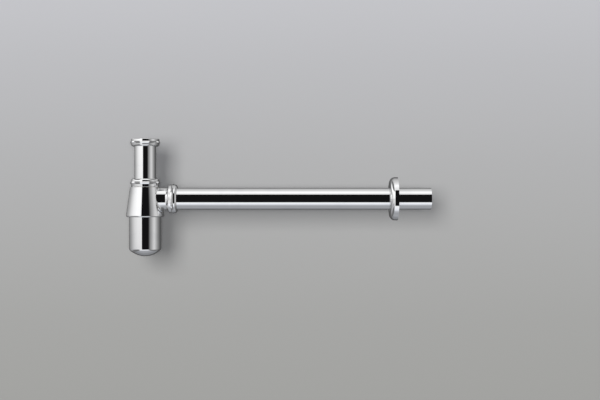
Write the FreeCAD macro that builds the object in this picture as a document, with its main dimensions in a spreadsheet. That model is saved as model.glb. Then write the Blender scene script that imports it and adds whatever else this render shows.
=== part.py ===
import FreeCAD
import Part
import math
import os
import re
import Sketcher

# A chrome-plated brass bottle trap for a washbasin. The frame has its origin at the mouth of the
# union nut, on the axis of the inlet tube, with +Z up and the outlet along +X. All sizes are mm.

doc = FreeCAD.newDocument("BottleTrap")
sizes = doc.addObject("Spreadsheet::Sheet", "Sizes")
table = [
    ("tube_diameter", 32.0),
    ("tube_wall", 1.0),
    ("slide_gap", 0.3),
    ("union_step", 2.9),
    ("union_nut_height", 11.0),
    ("union_lead", 0.3),
    ("relief_depth", 0.5),
    ("washer_thickness", 2.0),
    ("flange_thickness", 1.6),
    ("inlet_tube_length", 104.0),
    ("inlet_drop", 58.5),
    ("nut_wall", 2.0),
    ("nut_end_wall", 2.4),
    ("nut_edge_radius", 0.9),
    ("nut_crown_radius", 3.6),
    ("lip_taper", 0.36),
    ("ridge_height", 0.95),
    ("ridge_width", 3.6),
    ("ridge_radius", 0.4),
    ("body_nut_height", 12.4),
    ("outlet_nut_height", 12.4),
    ("nut_seat_gap", 0.2),
    ("neck_wall", 2.8),
    ("thread_gap", 0.2),
    ("slip_ring_thickness", 1.2),
    ("gasket_flange", 1.6),
    ("gasket_cone", 4.4),
    ("gasket_gap", 0.06),
    ("seat_mouth_step", 2.2),
    ("seat_root_step", 1.0),
    ("seat_gap", 0.1),
    ("deck_step", 1.2),
    ("cone_bottom_diameter", 56.6),
    ("cone_height", 43.9),
    ("cone_rim_radius", 2.2),
    ("head_wall", 2.6),
    ("way_land", 0.3),
    ("seal_land", 1.8),
    ("seal_thickness", 2.0),
    ("seal_width", 2.0),
    ("branch_below", 0.4),
    ("outlet_reach", 47.6),
    ("outlet_socket_depth", 14.2),
    ("branch_wall", 0.5),
    ("socket_gap", 0.1),
    ("branch_cove", 4.4),
    ("flare_rise", 1.7),
    ("flare_run", 1.55),
    ("saddle_radius", 0.25),
    ("dip_tube_wall", 1.1),
    ("dip_tube_gap", 0.4),
    ("dip_tube_length", 83.6),
    ("dip_tube_lip", 1.3),
    ("cup_diameter", 47.2),
    ("cup_wall", 1.6),
    ("cup_depth", 47.8),
    ("cup_dome", 9.9),
    ("cup_thread_step", 0.3),
    ("cup_edge_radius", 5.0),
    ("outlet_tube_length", 393.1),
    ("spigot_length", 49.8),
    ("mark_width", 0.8),
    ("mark_depth", 0.25),
    ("tube_end_radius", 0.3),
    ("rosette_diameter", 63.5),
    ("rosette_depth", 11.9),
    ("rosette_wall", 0.9),
    ("rosette_shoulder", 7.5),
    ("rosette_roll", 3.2),
    ("rosette_neck", 7.5),
    ("rosette_from_end", 49.5),
    ("grip_wall", 1.2),
    ("grip_length", 5.4),
    ("grip_gap", 0.06),
]
for row, (name, value) in enumerate(table, 1):
    sizes.set("A%d" % row, name)
    sizes.set("B%d" % row, str(value))
    sizes.setAlias("B%d" % row, name)
doc.recompute()


def bound(text):
    """An expression with each size of the sheet written by its full name."""
    return re.sub(r"[a-z]+(?:_[a-z]+)+", lambda found: "Sizes." + found.group(0), text)


def number(text):
    """What an expression is worth with the sheet as it stands."""
    return float(sizes.evalExpression(text))


def pin(sketch, geometry, end, across, along):
    """Hold one point of a sketch at two expressions."""
    for kind, text, axis in (("DistanceX", across, -2), ("DistanceY", along, -1)):
        if text == "0":
            sketch.addConstraint(Sketcher.Constraint("PointOnObject", geometry, end, axis))
            continue
        rule = Sketcher.Constraint(kind, -1, 1, geometry, end, number(text))
        index = sketch.addConstraint(rule)
        sketch.setExpression("Constraints[%d]" % index, bound(text))


def outline(sketch, corners):
    """Draw a closed outline. A corner is (across, along), with a rounding as a third entry where
    it has one; a corner that ends in "dome" starts an arc centred on the axis."""
    domes = [corner[-1] == "dome" for corner in corners]
    rounds = [corner[2] if len(corner) > 2 and corner[2] != "dome" else None for corner in corners]
    points = [FreeCAD.Vector(number(corner[0]), number(corner[1]), 0) for corner in corners]
    count = len(points)
    arrive = list(points)
    leave = list(points)
    turns = [0.0] * count
    for i in range(count):
        if rounds[i] is None:
            continue
        back = (points[i - 1] - points[i]).normalize()
        ahead = (points[(i + 1) % count] - points[i]).normalize()
        reach = number(rounds[i]) / math.tan(back.getAngle(ahead) / 2)
        arrive[i] = points[i] + back * reach
        leave[i] = points[i] + ahead * reach
        turns[i] = (-back).cross(ahead).z
    sides = []
    for i in range(count):
        start = leave[i]
        stop = arrive[(i + 1) % count]
        if not domes[i]:
            index = sketch.addGeometry(Part.LineSegment(start, stop))
            sides.append((index, 1, 2))
            continue
        lift = stop.y ** 2 - start.y ** 2 + stop.x ** 2 - start.x ** 2
        centre = FreeCAD.Vector(0, lift / (2 * (stop.y - start.y)), 0)
        first = math.atan2(start.y - centre.y, start.x)
        last = math.atan2(stop.y - centre.y, stop.x)
        ring = Part.Circle(centre, FreeCAD.Vector(0, 0, 1), (start - centre).Length)
        if (last - first) % (2 * math.pi) < math.pi:
            index = sketch.addGeometry(Part.ArcOfCircle(ring, first, last))
            sides.append((index, 1, 2))
        else:
            index = sketch.addGeometry(Part.ArcOfCircle(ring, last, first))
            sides.append((index, 2, 1))
        sketch.addConstraint(Sketcher.Constraint("PointOnObject", index, 3, -2))
    for i in range(count):
        before, _, before_end = sides[i - 1]
        after, after_start, _ = sides[i]
        across, along = corners[i][:2]
        if rounds[i] is None:
            sketch.addConstraint(
                Sketcher.Constraint("Coincident", before, before_end, after, after_start)
            )
            pin(sketch, after, after_start, across, along)
            continue
        corner = sketch.addGeometry(Part.Point(points[i]), True)
        pin(sketch, corner, 1, across, along)
        sketch.addConstraint(Sketcher.Constraint("PointOnObject", corner, 1, before))
        sketch.addConstraint(Sketcher.Constraint("PointOnObject", corner, 1, after))
        radius = number(rounds[i])
        inward = ((arrive[i] - points[i]) + (leave[i] - points[i])).normalize()
        chord = (arrive[i] - leave[i]).Length / 2
        middle = (arrive[i] + leave[i]) * 0.5
        centre = middle + inward * math.sqrt(max(radius ** 2 - chord ** 2, 0))
        ring = Part.Circle(centre, FreeCAD.Vector(0, 0, 1), radius)
        first = math.atan2(arrive[i].y - centre.y, arrive[i].x - centre.x)
        last = math.atan2(leave[i].y - centre.y, leave[i].x - centre.x)
        if turns[i] > 0:
            arc = sketch.addGeometry(Part.ArcOfCircle(ring, first, last))
            ends = (1, 2)
        else:
            arc = sketch.addGeometry(Part.ArcOfCircle(ring, last, first))
            ends = (2, 1)
        sketch.addConstraint(Sketcher.Constraint("Tangent", before, before_end, arc, ends[0]))
        sketch.addConstraint(Sketcher.Constraint("Tangent", after, after_start, arc, ends[1]))
        index = sketch.addConstraint(Sketcher.Constraint("Radius", arc, radius))
        sketch.setExpression("Constraints[%d]" % index, bound(rounds[i]))


def piece(label, height="0", reach=None):
    """A body on the inlet axis at a height, or lying along the outlet axis at a reach."""
    body = doc.addObject("PartDesign::Body", label)
    body.Label = label
    if reach is not None:
        turn = FreeCAD.Rotation(FreeCAD.Vector(0, 1, 0), 90)
        body.Placement = FreeCAD.Placement(FreeCAD.Vector(0, 0, 0), turn)
        body.setExpression("Placement.Base.x", bound(reach))
        height = outlet_level
    if height != "0":
        body.setExpression("Placement.Base.z", bound(height))
    return body


def turned(body, name, corners, kind="PartDesign::Revolution", axis="V_Axis", level=None):
    """Turn an outline about an axis of its own sketch, as stock in a lathe."""
    sketch = body.newObject("Sketcher::SketchObject", name + "_outline")
    planes = [item for item in body.Origin.OriginFeatures if item.Role == "XZ_Plane"]
    sketch.AttachmentSupport = [(planes[0], "")]
    sketch.MapMode = "FlatFace"
    if level is not None:
        sketch.setExpression("AttachmentOffset.Base.y", bound(level))
    outline(sketch, corners)
    feature = body.newObject(kind, name)
    feature.Profile = sketch
    feature.ReferenceAxis = (sketch, [axis])
    feature.Angle = 360
    doc.recompute()
    return feature


# Radii and levels that several pieces share, all measured from the sheet.
tube = "tube_diameter / 2"
tube_bore = "(tube_diameter / 2 - tube_wall)"
thread = "(tube_diameter / 2 + neck_wall)"
nut_bore = "(tube_diameter / 2 + neck_wall + thread_gap)"
nut = "(tube_diameter / 2 + neck_wall + thread_gap + nut_wall)"
union = "(tube_diameter / 2 + union_step)"
cone_top = "(tube_diameter / 2 + neck_wall + thread_gap + nut_wall + deck_step)"
branch = "(tube_diameter / 2 + socket_gap + branch_wall)"
outlet_fall = "(tube_diameter / 2 + socket_gap + branch_wall + branch_below)"
guide = "(tube_diameter / 2 + slide_gap)"
seat_mouth = "(tube_diameter / 2 + seat_mouth_step)"
seat_root = "(tube_diameter / 2 + seat_root_step)"
cup = "cup_diameter / 2"
cup_thread = "(cup_diameter / 2 - cup_thread_step)"
dip_inside = "(tube_diameter / 2 + dip_tube_gap)"
dip_outside = "(tube_diameter / 2 + dip_tube_gap + dip_tube_wall)"
stack = "(nut_end_wall + slip_ring_thickness + gasket_flange)"
flange_level = "-(union_nut_height - nut_end_wall)"
deck_level = "-(inlet_drop + body_nut_height + nut_seat_gap)"
outlet_level = deck_level + " - " + outlet_fall
rim_level = deck_level + " - cone_height"
neck = "(body_nut_height + nut_seat_gap - nut_end_wall - slip_ring_thickness - gasket_flange)"
deck_under = "-(socket_gap + branch_wall + branch_below + tube_wall - way_land)"
shoulder = "(tube_diameter - tube_wall + socket_gap + branch_wall + branch_below + seal_land)"
cup_grip = "(cone_height - seal_thickness - " + shoulder + ")"


def ring_nut_outside(height, upper, lower):
    """The outer face of a nut: two tapered lips with a sharp ridge round the middle, and the edges
    rounded by an upper and a lower radius."""
    return [
        (nut + " - lip_taper", "0", upper),
        (nut, "-(%s - ridge_width) / 2" % height),
        (nut + " + ridge_height", "-%s / 2" % height, "ridge_radius"),
        (nut, "-(%s + ridge_width) / 2" % height),
        (nut + " - lip_taper", "-" + height, lower),
    ]


# Union nut: screws on the basin waste and pulls the tube's flange up against its washer. The
# thread ends in a relief, where the washer and the flange lie on the inner lip.
union_nut = piece("inlet_union_nut")
turned(
    union_nut,
    "union_nut_turned",
    [(union + " + union_lead", "0")]
    + ring_nut_outside("union_nut_height", "nut_edge_radius", "nut_crown_radius")
    + [
        (guide, "-union_nut_height"),
        (guide, "-union_nut_height + nut_end_wall"),
        (union + " + relief_depth", "-union_nut_height + nut_end_wall"),
        (
            union + " + relief_depth",
            "-union_nut_height + nut_end_wall + flange_thickness + washer_thickness",
        ),
        (union, "-union_nut_height + nut_end_wall + flange_thickness + washer_thickness"),
        (union, "-union_lead"),
    ],
)

# Flat washer: a rubber ring on the flange, which the waste's end presses.
washer = piece("inlet_flat_washer", flange_level + " + flange_thickness")
turned(
    washer,
    "washer_turned",
    [
        (tube_bore + " + slide_gap", "0"),
        (union + " - slide_gap", "0"),
        (union + " - slide_gap", "washer_thickness"),
        (tube_bore + " + slide_gap", "washer_thickness"),
    ],
)

# Inlet tube: a straight tube with a flange rolled out at its top end.
inlet_tube = piece("inlet_tube", flange_level)
turned(
    inlet_tube,
    "inlet_tube_turned",
    [
        (tube_bore, "flange_thickness", "tube_wall / 2"),
        (union + " - slide_gap", "flange_thickness"),
        (union + " - slide_gap", "0"),
        (tube, "0"),
        (tube, "-inlet_tube_length", "tube_end_radius"),
        (tube_bore, "-inlet_tube_length"),
    ],
)


def compression_nut(body, name, height):
    """A nut that presses a tapered gasket on a tube: an end wall with a hole for the tube, and a
    threaded bore below it."""
    turned(
        body,
        name,
        [(guide, "0")]
        + ring_nut_outside(height, "nut_crown_radius", "nut_edge_radius")
        + [
            (nut_bore + " + union_lead", "-" + height),
            (nut_bore, "-%s + union_lead" % height),
            (nut_bore, "-nut_end_wall"),
            (guide, "-nut_end_wall"),
        ],
    )


def slip_ring(body, name):
    """A thin flat ring that lets the nut turn without dragging the gasket round."""
    turned(
        body,
        name,
        [
            (guide, "0"),
            (nut_bore + " - slide_gap", "0"),
            (nut_bore + " - slide_gap", "-slip_ring_thickness"),
            (guide, "-slip_ring_thickness"),
        ],
    )


def tapered_gasket(body, name):
    """A rubber ring with a flange that lies on the neck and a taper that fills its seat."""
    turned(
        body,
        name,
        [
            (tube + " + gasket_gap", "0"),
            (nut_bore + " - slide_gap", "0"),
            (nut_bore + " - slide_gap", "-gasket_flange"),
            (seat_mouth + " - seat_gap", "-gasket_flange"),
            (seat_root + " - seat_gap", "-gasket_flange - gasket_cone"),
            (tube + " + gasket_gap", "-gasket_flange - gasket_cone"),
        ],
    )


# The compression joint on top of the head, which holds the inlet tube at any height.
body_nut = piece("body_nut", "-inlet_drop")
compression_nut(body_nut, "body_nut_turned", "body_nut_height")
body_ring = piece("body_slip_ring", "-inlet_drop - nut_end_wall")
slip_ring(body_ring, "body_ring_turned")
body_gasket = piece("body_gasket", "-inlet_drop - nut_end_wall - slip_ring_thickness")
tapered_gasket(body_gasket, "body_gasket_turned")

# Trap head: a conical casting with a threaded neck on top, a threaded mouth below and a branch
# for the outlet, which flares out under its own nut. The level 0 is the deck under the upper nut.
head = piece("trap_head", deck_level)
turned(
    head,
    "head_cone",
    [
        ("0", neck),
        (thread, neck),
        (thread, "0"),
        (cone_top, "0"),
        ("cone_bottom_diameter / 2", "-cone_height", "cone_rim_radius"),
        ("0", "-cone_height"),
    ],
)
collar = "(outlet_reach - outlet_nut_height - nut_seat_gap)"
mouth = "(outlet_reach - nut_end_wall - slip_ring_thickness - gasket_flange)"
branch_turned = turned(
    head,
    "head_branch",
    [
        ("0", "0"),
        (mouth, "0"),
        (mouth, thread),
        (collar, thread),
        (collar, branch + " + flare_rise"),
        (collar + " - flare_run", branch, "branch_cove"),
        ("0", branch),
    ],
    axis="H_Axis",
    level="-" + outlet_fall,
)

# The saddle where the branch leaves the cone is rounded.
saddle = []
for index, edge in enumerate(branch_turned.Shape.Edges, 1):
    if edge.Degenerated or isinstance(edge.Curve, (Part.Line, Part.Circle)):
        continue
    saddle.append("Edge%d" % index)
saddle_round = head.newObject("PartDesign::Fillet", "head_saddle")
saddle_round.Base = (branch_turned, saddle)
saddle_round.setExpression("Radius", bound("saddle_radius"))
doc.recompute()

# The inside of the head: the gasket seat, the bore that holds the dip tube, the water space, the
# land for the cup's seal and the cup's thread.
turned(
    head,
    "head_inside",
    [
        ("0", neck),
        (seat_mouth, neck),
        (seat_root, neck + " - gasket_cone - seat_gap"),
        (seat_root, "dip_tube_lip"),
        (dip_outside, "dip_tube_lip"),
        (dip_outside, deck_under),
        (cone_top + " - head_wall", deck_under),
        (cup + " - seal_width", "-" + shoulder),
        (cup_thread + " + thread_gap", "-" + shoulder),
        (cup_thread + " + thread_gap", "-cone_height"),
        ("0", "-cone_height"),
    ],
    kind="PartDesign::Groove",
)
stop = "(outlet_reach - nut_end_wall - slip_ring_thickness - gasket_flange - outlet_socket_depth)"
turned(
    head,
    "head_outlet_way",
    [
        ("0", "0"),
        (mouth, "0"),
        (mouth, seat_mouth),
        (mouth + " - gasket_cone - seat_gap", seat_root),
        (mouth + " - gasket_cone - seat_gap", tube + " + socket_gap"),
        (stop, tube + " + socket_gap"),
        (stop, tube_bore),
        ("0", tube_bore),
    ],
    kind="PartDesign::Groove",
    axis="H_Axis",
    level="-" + outlet_fall,
)

# Dip tube: a plastic sleeve pressed up into the head. The inlet tube slides in it, and its lower
# end stands in the water, below the outlet.
dip_tube = piece("dip_tube", deck_level + " + dip_tube_lip")
turned(
    dip_tube,
    "dip_tube_turned",
    [
        (dip_inside, "0"),
        (dip_outside, "0"),
        (dip_outside, "-dip_tube_length"),
        (dip_inside, "-dip_tube_length"),
    ],
)

# Cup seal: a flat rubber ring between the cup's rim and the land in the head.
cup_seal = piece("cup_seal", deck_level + " - " + shoulder)
turned(
    cup_seal,
    "cup_seal_turned",
    [
        (cup + " - seal_width", "0"),
        (cup_thread, "0"),
        (cup_thread, "-seal_thickness"),
        (cup + " - seal_width", "-seal_thickness"),
    ],
)

# Cup: a drawn bottle that screws up into the head, with a shallow domed bottom. Its level 0 is
# the lower rim of the head.
cup_body = piece("cleaning_cup", rim_level)
cup_inside = "(cup_diameter / 2 - cup_wall)"
cup_turned = turned(
    cup_body,
    "cup_turned",
    [
        (cup_inside, cup_grip),
        (cup_thread, cup_grip),
        (cup_thread, "-nut_seat_gap"),
        (cup, "-nut_seat_gap"),
        (cup, "-cup_depth", "dome"),
        ("0", "-cup_depth - cup_dome"),
        ("0", "-cup_depth - cup_dome + cup_wall", "dome"),
        (cup_inside, "-cup_depth"),
    ],
)
edge_names = []
for index, edge in enumerate(cup_turned.Shape.Edges, 1):
    if edge.Degenerated or not isinstance(edge.Curve, Part.Circle):
        continue
    if abs(edge.Curve.Radius - number(cup)) > 1e-6:
        continue
    if abs(edge.Vertexes[0].Z + number("cup_depth")) < 1e-6:
        edge_names.append("Edge%d" % index)
cup_round = cup_body.newObject("PartDesign::Fillet", "cup_edge")
cup_round.Base = (cup_turned, edge_names)
cup_round.setExpression("Radius", bound("cup_edge_radius"))
doc.recompute()

# The compression joint on the branch, which holds the outlet tube.
outlet_nut = piece("outlet_nut", reach="outlet_reach")
compression_nut(outlet_nut, "outlet_nut_turned", "outlet_nut_height")
outlet_ring = piece("outlet_slip_ring", reach="outlet_reach - nut_end_wall")
slip_ring(outlet_ring, "outlet_ring_turned")
outlet_gasket = piece("outlet_gasket", reach="outlet_reach - nut_end_wall - slip_ring_thickness")
tapered_gasket(outlet_gasket, "outlet_gasket_turned")

# Outlet tube: a straight tube from its stop in the branch to the wall. A turned line marks how far
# its free end is pushed into the wall's socket.
tube_start = stop + " + nut_seat_gap"
mark = "outlet_tube_length - spigot_length"
outlet_tube = piece("outlet_tube", reach=tube_start)
turned(
    outlet_tube,
    "outlet_tube_turned",
    [
        (tube_bore, "0"),
        (tube, "0", "tube_end_radius"),
        (tube, mark + " - mark_width"),
        (tube + " - mark_depth", mark + " - mark_width"),
        (tube + " - mark_depth", mark),
        (tube, mark),
        (tube, "outlet_tube_length", "tube_end_radius"),
        (tube_bore, "outlet_tube_length"),
    ],
)

# Wall rosette: a spun sheet cover with a rounded shoulder, whose middle is rolled in to a short
# neck round the tube. Its level 0 is the plane of the wall.
wall_plane = tube_start + " + outlet_tube_length - rosette_from_end"
rosette = piece("wall_rosette", reach=wall_plane)
turned(
    rosette,
    "rosette_spun",
    [
        (guide, "rosette_neck - rosette_depth"),
        (guide, "-rosette_depth", "rosette_roll"),
        ("rosette_diameter / 2", "-rosette_depth", "rosette_shoulder"),
        ("rosette_diameter / 2", "0"),
        ("rosette_diameter / 2 - rosette_wall", "0"),
        (
            "rosette_diameter / 2 - rosette_wall",
            "rosette_wall - rosette_depth",
            "rosette_shoulder - rosette_wall",
        ),
        (guide + " + rosette_wall", "rosette_wall - rosette_depth", "rosette_roll - rosette_wall"),
        (guide + " + rosette_wall", "rosette_neck - rosette_depth"),
    ],
)

# Grip ring: a rubber cap stretched over the end of the rosette's neck, which holds the rosette
# wherever it is put on the tube.
grip_ring = piece("rosette_grip_ring", reach=wall_plane + " + rosette_neck - rosette_depth")
turned(
    grip_ring,
    "grip_ring_turned",
    [
        (tube + " + grip_gap", "0"),
        (guide + " + rosette_wall", "0"),
        (guide + " + rosette_wall", "-grip_length / 2"),
        (guide + " + rosette_wall + grip_wall", "-grip_length / 2"),
        (guide + " + rosette_wall + grip_wall", "grip_length / 2"),
        (tube + " + grip_gap", "grip_length / 2"),
    ],
)

doc.recompute()
failed = []
for item in doc.Objects:
    if "Invalid" in item.State or "Error" in item.State:
        failed.append(item.Name)
bodies = [item for item in doc.Objects if item.TypeId == "PartDesign::Body"]
for body in bodies:
    shape = body.Shape
    if shape.isNull() or not shape.isValid() or len(shape.Solids) != 1:
        failed.append(body.Label)
if failed:
    raise RuntimeError("not built: " + ", ".join(failed))
os.makedirs("parts", exist_ok=True)
for body in bodies:
    body.Shape.exportStep("parts/%s.step" % body.Label)
    box = body.Shape.BoundBox
    print(body.Label, "%.1f mm3" % body.Shape.Volume, "%.1f..%.1f" % (box.XMin, box.XMax), end=" ")
    print("%.1f..%.1f %.1f..%.1f" % (box.YMin, box.YMax, box.ZMin, box.ZMax))
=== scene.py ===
import math

import bmesh
import bpy
from mathutils import Matrix, Vector


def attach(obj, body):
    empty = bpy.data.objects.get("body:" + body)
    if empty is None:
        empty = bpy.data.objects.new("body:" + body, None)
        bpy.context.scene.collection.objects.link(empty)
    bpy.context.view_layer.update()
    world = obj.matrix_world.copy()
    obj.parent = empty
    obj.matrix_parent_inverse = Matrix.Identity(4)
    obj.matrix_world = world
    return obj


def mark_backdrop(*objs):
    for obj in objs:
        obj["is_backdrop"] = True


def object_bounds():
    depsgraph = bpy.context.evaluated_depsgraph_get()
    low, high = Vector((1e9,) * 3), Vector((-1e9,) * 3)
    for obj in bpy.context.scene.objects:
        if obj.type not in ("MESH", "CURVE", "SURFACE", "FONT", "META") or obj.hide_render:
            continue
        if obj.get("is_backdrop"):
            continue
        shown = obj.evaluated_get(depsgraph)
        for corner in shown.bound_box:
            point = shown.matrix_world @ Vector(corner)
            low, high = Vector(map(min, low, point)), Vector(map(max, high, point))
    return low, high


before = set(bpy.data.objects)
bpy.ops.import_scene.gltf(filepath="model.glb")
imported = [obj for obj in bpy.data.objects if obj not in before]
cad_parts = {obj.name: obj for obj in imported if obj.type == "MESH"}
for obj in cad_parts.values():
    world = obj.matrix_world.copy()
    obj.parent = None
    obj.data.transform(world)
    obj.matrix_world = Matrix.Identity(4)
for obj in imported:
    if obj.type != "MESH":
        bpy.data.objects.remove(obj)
cad_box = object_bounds()
scene = bpy.context.scene


# Inlet tube: drawn brass, polished along its length and chrome plated outside, with its top end
# rolled out to a flange. It hangs in the union nut. The bore keeps the bare brass of the die.
class Port:
    """One output in a node tree; arithmetic on ports adds Math nodes."""

    def __init__(self, tree, socket=None):
        self.tree = tree
        self.socket = socket

    def node(self, kind, settings, sockets, output=0):
        """Any node: its type, its settings, then the values or links of its sockets."""
        made = self.tree.nodes.new(kind)
        for name, value in settings.items():
            if name != "stops":
                setattr(made, name, value)
                continue
            stops = made.color_ramp.elements
            while len(stops) < len(value):
                stops.new(1.0)
            for stop, (place, level) in zip(stops, value):
                stop.position = place
                stop.color = (level, level, level, 1.0)
        for name, value in sockets.items():
            if isinstance(value, Port):
                self.tree.links.new(value.socket, made.inputs[name])
            else:
                made.inputs[name].default_value = value
        return Port(self.tree, made.outputs[output] if made.outputs else None)

    def other(self, output):
        """Another output of the node that this port belongs to."""
        return Port(self.tree, self.socket.node.outputs[output])

    def math(self, operation, *values):
        return self.node("ShaderNodeMath", {"operation": operation}, dict(enumerate(values)))

    def __add__(self, value):
        return self.math("ADD", self, value)

    def __radd__(self, value):
        return self.math("ADD", value, self)

    def __sub__(self, value):
        return self.math("SUBTRACT", self, value)

    def __rsub__(self, value):
        return self.math("SUBTRACT", value, self)

    def __mul__(self, value):
        return self.math("MULTIPLY", self, value)

    def __rmul__(self, value):
        return self.math("MULTIPLY", value, self)

    def __truediv__(self, value):
        return self.math("DIVIDE", self, value)

    def __pow__(self, value):
        return self.math("POWER", self, value)

    def __lt__(self, value):
        return self.math("LESS_THAN", self, value)

    def __gt__(self, value):
        return self.math("GREATER_THAN", self, value)

    def ramp(self, low, high, bottom=0.0, top=1.0):
        """A smooth step: bottom below low, top above high."""
        settings = {"interpolation_type": "SMOOTHSTEP", "clamp": True}
        limits = {"Value": self, "From Min": low, "From Max": high, "To Min": bottom, "To Max": top}
        return self.node("ShaderNodeMapRange", settings, limits)


def blank_finish(name):
    """An empty node material, and the port that its nodes are made from."""
    finish = bpy.data.materials.new(name)
    finish.use_nodes = True
    finish.node_tree.nodes.clear()
    return finish, Port(finish.node_tree)


def on_axis(port, centre, turn):
    """Places on a piece, measured from its own axis, which becomes Z."""
    objects = port.node("ShaderNodeTexCoord", {}, {}, "Object")
    settings = {"vector_type": "TEXTURE"}
    return port.node(
        "ShaderNodeMapping", settings, {"Vector": objects, "Location": centre, "Rotation": turn}
    )


def two_tones(port, share, low, high):
    """One colour that turns into another as the share grows."""
    return port.node("ShaderNodeMix", {"data_type": "RGBA"}, {0: share, 6: low, 7: high}, 2)


def either(first, *others):
    """A mask of everything that any of the masks covers."""
    for other in others:
        first = first.math("MAXIMUM", first, other)
    return first


CHROME = (0.88, 0.882, 0.888, 1.0)
CHROME_THIN = (0.835, 0.838, 0.85, 1.0)
BRASS = (0.72, 0.52, 0.22, 1.0)
BRASS_DULL = (0.42, 0.29, 0.12, 1.0)
UPRIGHT_AXIS = (0.0, 0.0, 0.0)
UPRIGHT = (0.0, 0.0, 0.0)


def chrome_finish(name, centre, turn, stretch, bare):
    """Chrome on brass. stretch draws out the polishing lines across, and along the axis; bare says
    from the radius and the height where the plating ends and the brass shows."""
    finish, port = blank_finish(name)
    place = on_axis(port, centre, turn)
    across = port.node("ShaderNodeSeparateXYZ", {}, {"Vector": place}, "X")
    radius = (across * across + across.other("Y") * across.other("Y")) ** 0.5
    drawn = port.node("ShaderNodeVectorMath", {"operation": "MULTIPLY"}, {0: place, 1: stretch})
    lines = port.node(
        "ShaderNodeTexNoise", {}, {"Vector": drawn, "Scale": 900.0, "Detail": 3.0}, "Fac"
    )
    smear = port.node(
        "ShaderNodeTexNoise", {}, {"Vector": place, "Scale": 42.0, "Detail": 4.0}, "Fac"
    )
    speck = port.node("ShaderNodeTexVoronoi", {}, {"Vector": place, "Scale": 210.0}, "Distance")
    haze = smear.ramp(0.46, 0.72)
    dried = speck.ramp(0.05, 0.16, 1.0, 0.0) * smear.ramp(0.58, 0.7)
    brass = bare(radius, across.other("Z"))
    plate = two_tones(port, haze, CHROME, CHROME_THIN)
    metal = two_tones(port, smear.ramp(0.35, 0.65), BRASS, BRASS_DULL)
    colour = two_tones(port, brass, plate, metal)
    gloss = 0.035 + 0.03 * haze + 0.05 * dried + 0.012 * lines
    rough = gloss * (1.0 - brass) + (0.26 + 0.16 * smear) * brass
    relief = port.node(
        "ShaderNodeBump",
        {},
        {"Strength": 0.012, "Distance": 0.0002, "Height": lines + 2.0 * brass * lines},
    )
    shader = port.node(
        "ShaderNodeBsdfPrincipled",
        {},
        {"Base Color": colour, "Metallic": 1.0, "Roughness": rough, "Normal": relief},
    )
    port.node("ShaderNodeOutputMaterial", {}, {"Surface": shader})
    return finish


def dress(node, finish):
    """Give a CAD node its finish."""
    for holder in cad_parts[node].material_slots:
        holder.material = finish


DRAWN_ALONG = (1.0, 1.0, 0.02)
TURNED_ROUND = (0.02, 0.02, 1.0)
TUBE_BORE = 0.0153


def tube_bare(radius, height):
    return radius < TUBE_BORE


dress(
    "inlet_tube",
    chrome_finish("inlet_tube_chrome", UPRIGHT_AXIS, UPRIGHT, DRAWN_ALONG, tube_bare),
)


# Union nut: turned from brass bar and chrome plated, with a sharp ridge round its middle to grip.
# It screws on the tail of the basin waste, and its thread is left as cut.
PIPE_PITCH = 0.002309


def screw_thread(name, radius, crest, pitch, low, high):
    """A helical ridge on +Z between two heights, which fades out over its first and last turn."""
    turns = (high - low) / pitch - 0.8
    steps = round(turns * 96)
    foot = pitch * 0.4
    flat = pitch * 0.06
    start = low + foot
    bm = bmesh.new()
    section = [
        bm.verts.new((radius, 0.0, start - foot)),
        bm.verts.new((crest, 0.0, start - flat)),
        bm.verts.new((crest, 0.0, start + flat)),
        bm.verts.new((radius, 0.0, start + foot)),
    ]
    face = bm.faces.new(section)
    bmesh.ops.spin(
        bm,
        geom=[face] + list(face.edges) + section,
        cent=(0.0, 0.0, 0.0),
        axis=(0.0, 0.0, 1.0),
        dvec=(0.0, 0.0, pitch * turns / steps),
        angle=2 * math.pi * turns,
        steps=steps,
        use_merge=False,
    )
    for vert in bm.verts:
        reach = math.hypot(vert.co.x, vert.co.y)
        share = min(vert.co.z - low, high - vert.co.z) / (1.2 * pitch)
        keep = max(0.04, min(1.0, share))
        scale = (radius + (reach - radius) * keep) / reach
        vert.co.x *= scale
        vert.co.y *= scale
    bmesh.ops.remove_doubles(bm, verts=bm.verts[:], dist=1e-7)
    bmesh.ops.recalc_face_normals(bm, faces=bm.faces[:])
    mesh = bpy.data.meshes.new(name)
    bm.to_mesh(mesh)
    bm.free()
    piece = bpy.data.objects.new(name, mesh)
    scene.collection.objects.link(piece)
    return piece


def cut_brass(name, centre, turn):
    """Brass as the threading die leaves it, with fine lines round the axis."""
    finish, port = blank_finish(name)
    place = on_axis(port, centre, turn)
    drawn = port.node(
        "ShaderNodeVectorMath", {"operation": "MULTIPLY"}, {0: place, 1: (0.05, 0.05, 1.0)}
    )
    lines = port.node(
        "ShaderNodeTexNoise", {}, {"Vector": drawn, "Scale": 2600.0, "Detail": 2.0}, "Fac"
    )
    tarnish = port.node("ShaderNodeTexNoise", {}, {"Vector": place, "Scale": 260.0}, "Fac")
    colour = two_tones(port, tarnish.ramp(0.4, 0.7), BRASS, BRASS_DULL)
    relief = port.node(
        "ShaderNodeBump", {}, {"Strength": 0.12, "Distance": 0.0002, "Height": lines}
    )
    shader = port.node(
        "ShaderNodeBsdfPrincipled",
        {},
        {
            "Base Color": colour,
            "Metallic": 1.0,
            "Roughness": 0.22 + 0.18 * tarnish,
            "Normal": relief,
        },
    )
    port.node("ShaderNodeOutputMaterial", {}, {"Surface": shader})
    return finish


def nut_bare(bore, low, high):
    """The inside of a nut, between two heights, where no plating reaches."""
    return lambda radius, height: (radius < bore) * (height > low) * (height < high)


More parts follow.
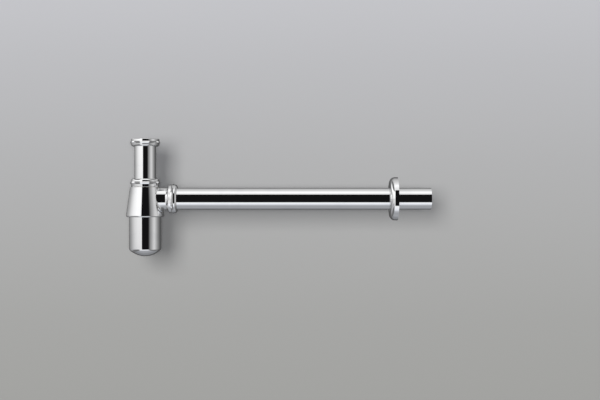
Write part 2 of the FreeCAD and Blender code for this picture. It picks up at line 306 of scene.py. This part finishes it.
union_bare = nut_bare(bore=0.0197, low=-0.0085, high=-0.0004)
dress(
    "inlet_union_nut",
    chrome_finish("union_nut_chrome", UPRIGHT_AXIS, UPRIGHT, TURNED_ROUND, union_bare),
)
union_thread = screw_thread(
    "union_nut_thread", radius=0.0190, crest=0.0183, pitch=PIPE_PITCH, low=-0.0049, high=-0.0004
)
union_thread.data.materials.append(cut_brass("union_thread_brass", UPRIGHT_AXIS, UPRIGHT))
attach(union_thread, "union_nut")


# Rubber seals: the flat washer on the tube's flange, the tapered gaskets in the two compression
# joints, the cup's ring and the rosette's grip ring. They are moulded in black rubber.
FRESH_RUBBER = (0.018, 0.018, 0.019, 1.0)
BLOOMED_RUBBER = (0.05, 0.05, 0.052, 1.0)


def rubber_finish(name):
    """Moulded rubber with a fine grain and a pale bloom in patches."""
    finish, port = blank_finish(name)
    place = on_axis(port, UPRIGHT_AXIS, UPRIGHT)
    bloom = port.node(
        "ShaderNodeTexNoise", {}, {"Vector": place, "Scale": 90.0, "Detail": 5.0}, "Fac"
    )
    grain = port.node(
        "ShaderNodeTexNoise", {}, {"Vector": place, "Scale": 1500.0, "Detail": 2.0}, "Fac"
    )
    colour = two_tones(port, bloom.ramp(0.4, 0.75), FRESH_RUBBER, BLOOMED_RUBBER)
    relief = port.node(
        "ShaderNodeBump", {}, {"Strength": 0.25, "Distance": 0.0002, "Height": grain}
    )
    shader = port.node(
        "ShaderNodeBsdfPrincipled",
        {},
        {"Base Color": colour, "Roughness": 0.55 + 0.2 * bloom, "Normal": relief},
    )
    port.node("ShaderNodeOutputMaterial", {}, {"Surface": shader})
    return finish


seal_rubber = rubber_finish("seal_rubber")
for seal in ("inlet_flat_washer", "body_gasket", "outlet_gasket", "cup_seal", "rosette_grip_ring"):
    dress(seal, seal_rubber)


# Compression nuts: two turned and plated nuts, one on the head's neck and one on its branch. Each
# presses a plastic slip ring and a gasket on its tube. They are tightened by hand on the ridge.
OUTLET_AXIS = (0.0, 0.0, -0.0881)
ALONG_OUTLET = (0.0, math.pi / 2, 0.0)
NUT_BORE = 0.0193
body_nut_bare = nut_bare(NUT_BORE, low=-0.0704, high=-0.0608)
outlet_nut_bare = nut_bare(NUT_BORE, low=0.0357, high=0.0453)
dress(
    "body_nut",
    chrome_finish("body_nut_chrome", UPRIGHT_AXIS, UPRIGHT, TURNED_ROUND, body_nut_bare),
)
dress(
    "outlet_nut",
    chrome_finish("outlet_nut_chrome", OUTLET_AXIS, ALONG_OUTLET, TURNED_ROUND, outlet_nut_bare),
)


def plastic_finish(name, pale, shade, rough):
    """Moulded plastic, a little uneven in tone, with the faint grain of its mould."""
    finish, port = blank_finish(name)
    place = on_axis(port, UPRIGHT_AXIS, UPRIGHT)
    cloud = port.node(
        "ShaderNodeTexNoise", {}, {"Vector": place, "Scale": 60.0, "Detail": 4.0}, "Fac"
    )
    grain = port.node("ShaderNodeTexNoise", {}, {"Vector": place, "Scale": 1100.0}, "Fac")
    colour = two_tones(port, cloud.ramp(0.35, 0.7), pale, shade)
    relief = port.node(
        "ShaderNodeBump", {}, {"Strength": 0.15, "Distance": 0.0002, "Height": grain}
    )
    shader = port.node(
        "ShaderNodeBsdfPrincipled",
        {},
        {"Base Color": colour, "Roughness": rough + 0.12 * cloud, "Normal": relief},
    )
    port.node("ShaderNodeOutputMaterial", {}, {"Surface": shader})
    return finish


ring_plastic = plastic_finish(
    "slip_ring_plastic",
    pale=(0.72, 0.71, 0.66, 1.0),
    shade=(0.6, 0.585, 0.53, 1.0),
    rough=0.3,
)
for ring in ("body_slip_ring", "outlet_slip_ring"):
    dress(ring, ring_plastic)


# Trap head: a brass casting, ground, polished and chrome plated, with a threaded neck, a threaded
# mouth for the cup and a branch that flares to a collar. The threads are cut after plating.
NECK_RADIUS = 0.0189
MOUTH_RADIUS = 0.0238
MOUTH_TOP = -0.1048
DECK_UNDER = -0.0716
CHAMBER_TOP = -0.0732
CHAMBER_TOP_RADIUS = 0.0206
CHAMBER_SPREAD = 0.0467
BRANCH_BORE = 0.01632
BRANCH_START = 0.022
BRANCH_THREAD_START = 0.03516
PIPE_THREAD = {"radius": 0.0187, "crest": 0.01895, "pitch": PIPE_PITCH}


def head_bare(radius, height):
    """The neck, the chamber, the cup's mouth, and the bore and the thread of the branch."""
    wall = CHAMBER_TOP_RADIUS + CHAMBER_SPREAD * (CHAMBER_TOP - height)
    chamber = (radius < wall) * (height < DECK_UNDER)
    mouth = (radius < MOUTH_RADIUS) * (height < MOUTH_TOP)
    spot = radius.node("ShaderNodeTexCoord", {}, {}, "Object")
    along = radius.node("ShaderNodeSeparateXYZ", {}, {"Vector": spot}, "X")
    drop = along.other("Z") - OUTLET_AXIS[2]
    off_axis = (along.other("Y") * along.other("Y") + drop * drop) ** 0.5
    bore = (off_axis < BRANCH_BORE) * (along > BRANCH_START)
    return either(radius < NECK_RADIUS, chamber, mouth, bore, along > BRANCH_THREAD_START)


GROUND_ALL_WAYS = (0.3, 0.3, 0.3)
dress(
    "trap_head",
    chrome_finish("trap_head_chrome", UPRIGHT_AXIS, UPRIGHT, GROUND_ALL_WAYS, head_bare),
)
neck_thread = screw_thread("neck_thread", low=-0.0707, high=-0.0639, **PIPE_THREAD)
neck_thread.data.materials.append(cut_brass("neck_thread_brass", UPRIGHT_AXIS, UPRIGHT))
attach(neck_thread, "head")
branch_thread = screw_thread("branch_thread", low=0.0354, high=0.0422, **PIPE_THREAD)
quarter = bmesh.new()
quarter.from_mesh(branch_thread.data)
bmesh.ops.transform(
    quarter,
    matrix=Matrix.Translation(OUTLET_AXIS) @ Matrix.Rotation(math.pi / 2, 4, "Y"),
    verts=quarter.verts[:],
)
quarter.to_mesh(branch_thread.data)
quarter.free()
branch_thread.data.materials.append(cut_brass("branch_thread_brass", OUTLET_AXIS, ALONG_OUTLET))
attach(branch_thread, "head")


# Dip tube: an extruded plastic sleeve pressed up into the head. It leads the water down into the
# cup, below the outlet, which makes the seal against smells.
dip_plastic = plastic_finish(
    "dip_tube_plastic",
    pale=(0.62, 0.63, 0.63, 1.0),
    shade=(0.5, 0.51, 0.52, 1.0),
    rough=0.34,
)
dress("dip_tube", dip_plastic)


# Cleaning cup: a brass cup with a domed bottom, spun, polished and chrome plated outside. It
# screws up into the head by hand, and comes off to clear the trap.
CUP_BORE = 0.0222
CUP_FLOOR = -0.1614
CUP_RIM_LINE = -0.11495
SPUN_ROUND = (0.05, 0.05, 1.0)


def cup_bare(radius, height):
    """The inside, and the threaded end above the line where the head's rim meets the cup."""
    return either((radius < CUP_BORE) * (height > CUP_FLOOR), height > CUP_RIM_LINE)


dress(
    "cleaning_cup",
    chrome_finish("cleaning_cup_chrome", UPRIGHT_AXIS, UPRIGHT, SPUN_ROUND, cup_bare),
)
cup_thread = screw_thread(
    "cup_thread", radius=0.0232, crest=0.02346, pitch=0.002, low=-0.1148, high=-0.1072
)
cup_thread.data.materials.append(cut_brass("cup_thread_brass", UPRIGHT_AXIS, UPRIGHT))
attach(cup_thread, "cup")


# Outlet tube: drawn brass like the inlet tube, straight from the branch to the wall. Its free end
# is cut square and slips into the socket of the drain.
dress(
    "outlet_tube",
    chrome_finish("outlet_tube_chrome", OUTLET_AXIS, ALONG_OUTLET, DRAWN_ALONG, tube_bare),
)


# Wall rosette: thin brass sheet spun to a rounded cover and chrome plated on both sides. It slides
# along the tube on its grip ring until it meets the wall. Neither throws a shadow in the picture.
SPUN_SHEET = (0.03, 0.03, 1.0)


def rosette_bare(radius, height):
    return radius < 0.0


dress(
    "wall_rosette",
    chrome_finish("wall_rosette_chrome", OUTLET_AXIS, ALONG_OUTLET, SPUN_SHEET, rosette_bare),
)
for unshaded in ("wall_rosette", "rosette_grip_ring"):
    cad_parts[unshaded].visible_shadow = False


# Backdrop: a pale grey paper board close behind the trap, which takes its soft shadow, and a pale
# floor well below. Painted shade makes the board's grey darker downwards, and a painted light tint
# makes it warmer low down and cooler higher up. The board has a front only, so that the trap shows
# from behind, and the chrome shows the tent instead of the board.
def flat_sheet(name, corners):
    """One flat face with the given corners."""
    bm = bmesh.new()
    bm.faces.new([bm.verts.new(corner) for corner in corners])
    mesh = bpy.data.meshes.new(name)
    bm.to_mesh(mesh)
    bm.free()
    sheet = bpy.data.objects.new(name, mesh)
    scene.collection.objects.link(sheet)
    return sheet


def levels(value, low, high, stops):
    """A level for each value, from stops of (value, level)."""
    share = (value - low) / (high - low)
    places = [((at - low) / (high - low), level) for at, level in stops]
    return value.node("ShaderNodeValToRGB", {"stops": places}, {"Fac": share}, "Color")


def tinted(port, share, colour, tint):
    """A colour multiplied by a tint, as far as the share says."""
    settings = {"data_type": "RGBA", "blend_type": "MULTIPLY"}
    return port.node("ShaderNodeMix", settings, {0: share, 6: colour, 7: tint}, 2)


# Painted light tints for the paper: warm low down and cool higher up, in place of the colour of the
# light.
PAPER_LOW_PAINTED_WARM_LIGHT = (1.005, 1.005, 0.975, 1.0)
PAPER_HIGH_PAINTED_COOL_LIGHT = (0.995, 1.0, 1.045, 1.0)


def paper_finish(name, stops):
    """Matt paper, seen from its front only, in a grey for each height and a painted light tint,
    cooler higher up; on the board the greys hold painted shade, darker downwards.
    """
    finish, port = blank_finish(name)
    objects = port.node("ShaderNodeTexCoord", {}, {}, "Object")
    tall = port.node("ShaderNodeSeparateXYZ", {}, {"Vector": objects}, "Z")
    fibre = port.node(
        "ShaderNodeTexNoise", {}, {"Vector": objects, "Scale": 700.0, "Detail": 3.0}, "Fac"
    )
    relief = port.node(
        "ShaderNodeBump", {}, {"Strength": 0.02, "Distance": 0.0002, "Height": fibre}
    )
    # Painted shade: on the board these greys fall from top to bottom, in place of the light's
    # fall-off.
    grey = levels(tall, -0.5, 0.5, stops)
    # Painted light: a warm tint low down and a cool tint higher up, in place of the colour of the
    # light.
    tint = two_tones(port, tall.ramp(-0.45, 0.3), PAPER_LOW_PAINTED_WARM_LIGHT, PAPER_HIGH_PAINTED_COOL_LIGHT)
    colour = tinted(port, 1.0, grey, tint)
    paper = port.node(
        "ShaderNodeBsdfDiffuse", {}, {"Color": colour, "Roughness": 0.4, "Normal": relief}
    )
    clear = port.node("ShaderNodeBsdfTransparent", {}, {})
    back = port.node("ShaderNodeNewGeometry", {}, {}, "Backfacing")
    shader = port.node("ShaderNodeMixShader", {}, {0: back, 1: paper, 2: clear})
    port.node("ShaderNodeOutputMaterial", {}, {"Surface": shader})
    return finish


BOARD_BEHIND = 0.06
BOARD_LEFT, BOARD_RIGHT, BOARD_TOP = -3.0, 3.4, 2.2
FLOOR_LEVEL = -0.45
FLOOR_LEFT, FLOOR_RIGHT, FLOOR_REACH = -6.0, 6.4, 6.0
# Painted shade: the board's grey is darker downwards, in place of the light's fall-off; the floor's
# grey is even.
BOARD_GREYS_WITH_PAINTED_SHADE = [
    (FLOOR_LEVEL, 0.342),
    (-0.27, 0.367),
    (-0.03, 0.43),
    (0.05, 0.457),
    (0.12, 0.48),
    (0.2, 0.514),
    (0.3, 0.54),
]
FLOOR_GREYS = [(FLOOR_LEVEL, 0.62), (0.0, 0.62)]
board = flat_sheet(
    "backdrop_board",
    [
        (BOARD_LEFT, BOARD_BEHIND, FLOOR_LEVEL),
        (BOARD_RIGHT, BOARD_BEHIND, FLOOR_LEVEL),
        (BOARD_RIGHT, BOARD_BEHIND, BOARD_TOP),
        (BOARD_LEFT, BOARD_BEHIND, BOARD_TOP),
    ],
)
board.data.materials.append(paper_finish("board_paper", BOARD_GREYS_WITH_PAINTED_SHADE))
board.visible_glossy = False
floor = flat_sheet(
    "pale_floor",
    [
        (FLOOR_LEFT, -FLOOR_REACH, FLOOR_LEVEL),
        (FLOOR_RIGHT, -FLOOR_REACH, FLOOR_LEVEL),
        (FLOOR_RIGHT, FLOOR_REACH, FLOOR_LEVEL),
        (FLOOR_LEFT, FLOOR_REACH, FLOOR_LEVEL),
    ],
)
floor.data.materials.append(paper_finish("floor_paper", FLOOR_GREYS))
floor.visible_glossy = False
floor.visible_diffuse = False
floor.visible_shadow = False
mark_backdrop(board, floor)


# Light: a white tent that the chrome shows, with a dark opening for the camera and bright boxes
# above and below it. What isn't metal has an even fill instead. A tall strip on the left throws the
# shadow on the board, and a front lamp softens it. Azimuth, tilt and height are in degrees.
tent = bpy.data.worlds.new("white_tent")
tent.use_nodes = True
tent.node_tree.nodes.clear()
scene.world = tent
sky = Port(tent.node_tree)
way = sky.node("ShaderNodeTexCoord", {}, {}, "Generated")
across = sky.node("ShaderNodeSeparateXYZ", {}, {"Vector": way}, "X")
front = across.other("Y") * -1.0
azimuth = across.math("ARCTAN2", across, front) * (180.0 / math.pi)
tilt = across.math("ARCTAN2", across.other("Z"), front) * (180.0 / math.pi)
height = across.math("ARCSINE", across.other("Z")) * (180.0 / math.pi)


def between(value, low, high, soft):
    """A mask from low to high, with soft edges."""
    return value.ramp(low - soft, low + soft) * value.ramp(high - soft, high + soft, 1.0, 0.0)


walls = levels(
    azimuth,
    -180.0,
    180.0,
    [
        (-180.0, 0.1),
        (-155.0, 0.14),
        (-140.0, 0.26),
        (-125.0, 0.34),
        (-112.0, 0.4),
        (-100.0, 0.53),
        (-86.0, 0.68),
        (-70.0, 0.84),
        (-44.0, 0.98),
        (-10.0, 0.98),
        (36.0, 0.12),
        (45.0, 0.29),
        (58.0, 0.46),
        (67.0, 0.64),
        (80.0, 0.7),
        (92.0, 0.5),
        (104.0, 0.34),
        (117.0, 0.23),
        (132.0, 0.13),
        (145.0, 0.09),
        (180.0, 0.1),
    ],
)
boxes = levels(
    tilt,
    -180.0,
    180.0,
    [
        (-180.0, 0.1),
        (-150.0, 0.24),
        (-124.0, 0.27),
        (-104.0, 0.4),
        (-86.0, 0.37),
        (-74.0, 0.46),
        (-62.0, 0.88),
        (-48.0, 1.0),
        (48.0, 0.88),
        (60.0, 0.98),
        (74.0, 1.2),
        (86.0, 0.9),
        (102.0, 0.68),
        (120.0, 0.55),
        (146.0, 0.28),
        (180.0, 0.1),
    ],
)
BLUISH = (0.96, 0.985, 1.04, 1.0)
boxes = tinted(sky, tilt.ramp(-60.0, -30.0, 1.0, 0.0), boxes, BLUISH)
lift = levels(
    height,
    -40.0,
    40.0,
    [
        (-40.0, 0.8),
        (-3.0, 0.82),
        (3.0, 1.1),
        (18.0, 1.22),
        (40.0, 1.22),
    ],
)
HIGH_LEFT_PANEL = (1.3, 1.3, 1.3, 1.0)
LOW_LEFT_PANEL = (0.42, 0.42, 0.44, 1.0)
HIGH_RIGHT_PANEL = (0.9, 0.9, 0.9, 1.0)
TENT_ENDS = (0.16, 0.16, 0.16, 1.0)
OPENING_DARK = (0.007, 0.007, 0.0075, 1.0)
FILL = (0.215, 0.22, 0.232, 1.0)
BACKGROUND = (0.43, 0.43, 0.433, 1.0)
high = between(height, 20.0, 34.0, 4.0)
low = between(height, -34.0, -20.0, 4.0)
level = two_tones(sky, azimuth.ramp(-30.0, -8.0), walls * lift, walls)
level = two_tones(sky, high * between(azimuth, -130.0, -24.0, 8.0), level, HIGH_LEFT_PANEL)
level = two_tones(sky, low * between(azimuth, -130.0, -40.0, 8.0), level, LOW_LEFT_PANEL)
level = two_tones(sky, high * between(azimuth, 104.0, 152.0, 8.0), level, HIGH_RIGHT_PANEL)
band = between(height, -36.0, 36.0, 3.0)
level = two_tones(sky, band, TENT_ENDS, level)
level = two_tones(sky, between(across, -0.46, 0.46, 0.06) * (1.0 - band), level, boxes)
opening = azimuth.ramp(-17.5, -14.5) * azimuth.ramp(30.0, 40.0, 1.0, 0.0)
opening = opening * between(tilt, -38.5, 46.5, 1.5)
level = two_tones(sky, opening, level, OPENING_DARK)
seen = sky.node("ShaderNodeLightPath", {}, {}, "Is Camera Ray")
level = two_tones(sky, seen.other("Is Diffuse Ray"), level, FILL)
level = two_tones(sky, seen, level, BACKGROUND)
glow = sky.node("ShaderNodeBackground", {}, {"Color": level, "Strength": 1.0})
sky.node("ShaderNodeOutputWorld", {}, {"Surface": glow})


LAMP_DISTANCE = 8.0
TRAP_MIDDLE = Vector((0.12, 0.0, -0.09))


def soft_lamp(name, aim, width, height, watts, colour):
    """A soft lamp far from the trap, which neither the camera nor the chrome sees."""
    lamp = bpy.data.lights.new(name, "AREA")
    lamp.shape = "RECTANGLE"
    lamp.size = width
    lamp.size_y = height
    lamp.energy = watts
    lamp.color = colour
    stand = bpy.data.objects.new(name, lamp)
    towards = Vector(aim).normalized()
    stand.location = TRAP_MIDDLE + towards * LAMP_DISTANCE
    stand.rotation_euler = towards.to_track_quat("Z", "Y").to_euler()
    stand.visible_camera = False
    stand.visible_glossy = False
    scene.collection.objects.link(stand)


soft_lamp(
    "tall_strip",
    aim=(-0.3, -1.0, 0.19),
    width=3.4,
    height=5.0,
    watts=480.0,
    colour=(1.0, 0.993, 0.975),
)
soft_lamp(
    "front_lamp",
    aim=(0.132, -1.0, 0.0),
    width=1.2,
    height=1.2,
    watts=180.0,
    colour=(1.0, 1.0, 1.0),
)


# Camera: level, and square to the outlet tube. It stands in front of the middle of the picture, at
# a distance that shows the ends of the tube and the rosette as the photograph does.
DISTANCE = 1.55
WIDTH_SEEN = 0.885
PICTURE_MIDDLE_X = 0.2283
PICTURE_MIDDLE_Z = -0.0899
eye = bpy.data.cameras.new("camera")
eye.sensor_width = 36.0
eye.lens = eye.sensor_width * DISTANCE / WIDTH_SEEN
eye.clip_start = 0.01
camera = bpy.data.objects.new("camera", eye)
camera.location = (PICTURE_MIDDLE_X, -DISTANCE, PICTURE_MIDDLE_Z)
camera.rotation_euler = (math.pi / 2, 0.0, 0.0)
scene.collection.objects.link(camera)
scene.camera = camera
scene.view_settings.view_transform = "Standard"

boxes = {"cad": cad_box, "visual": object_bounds()}
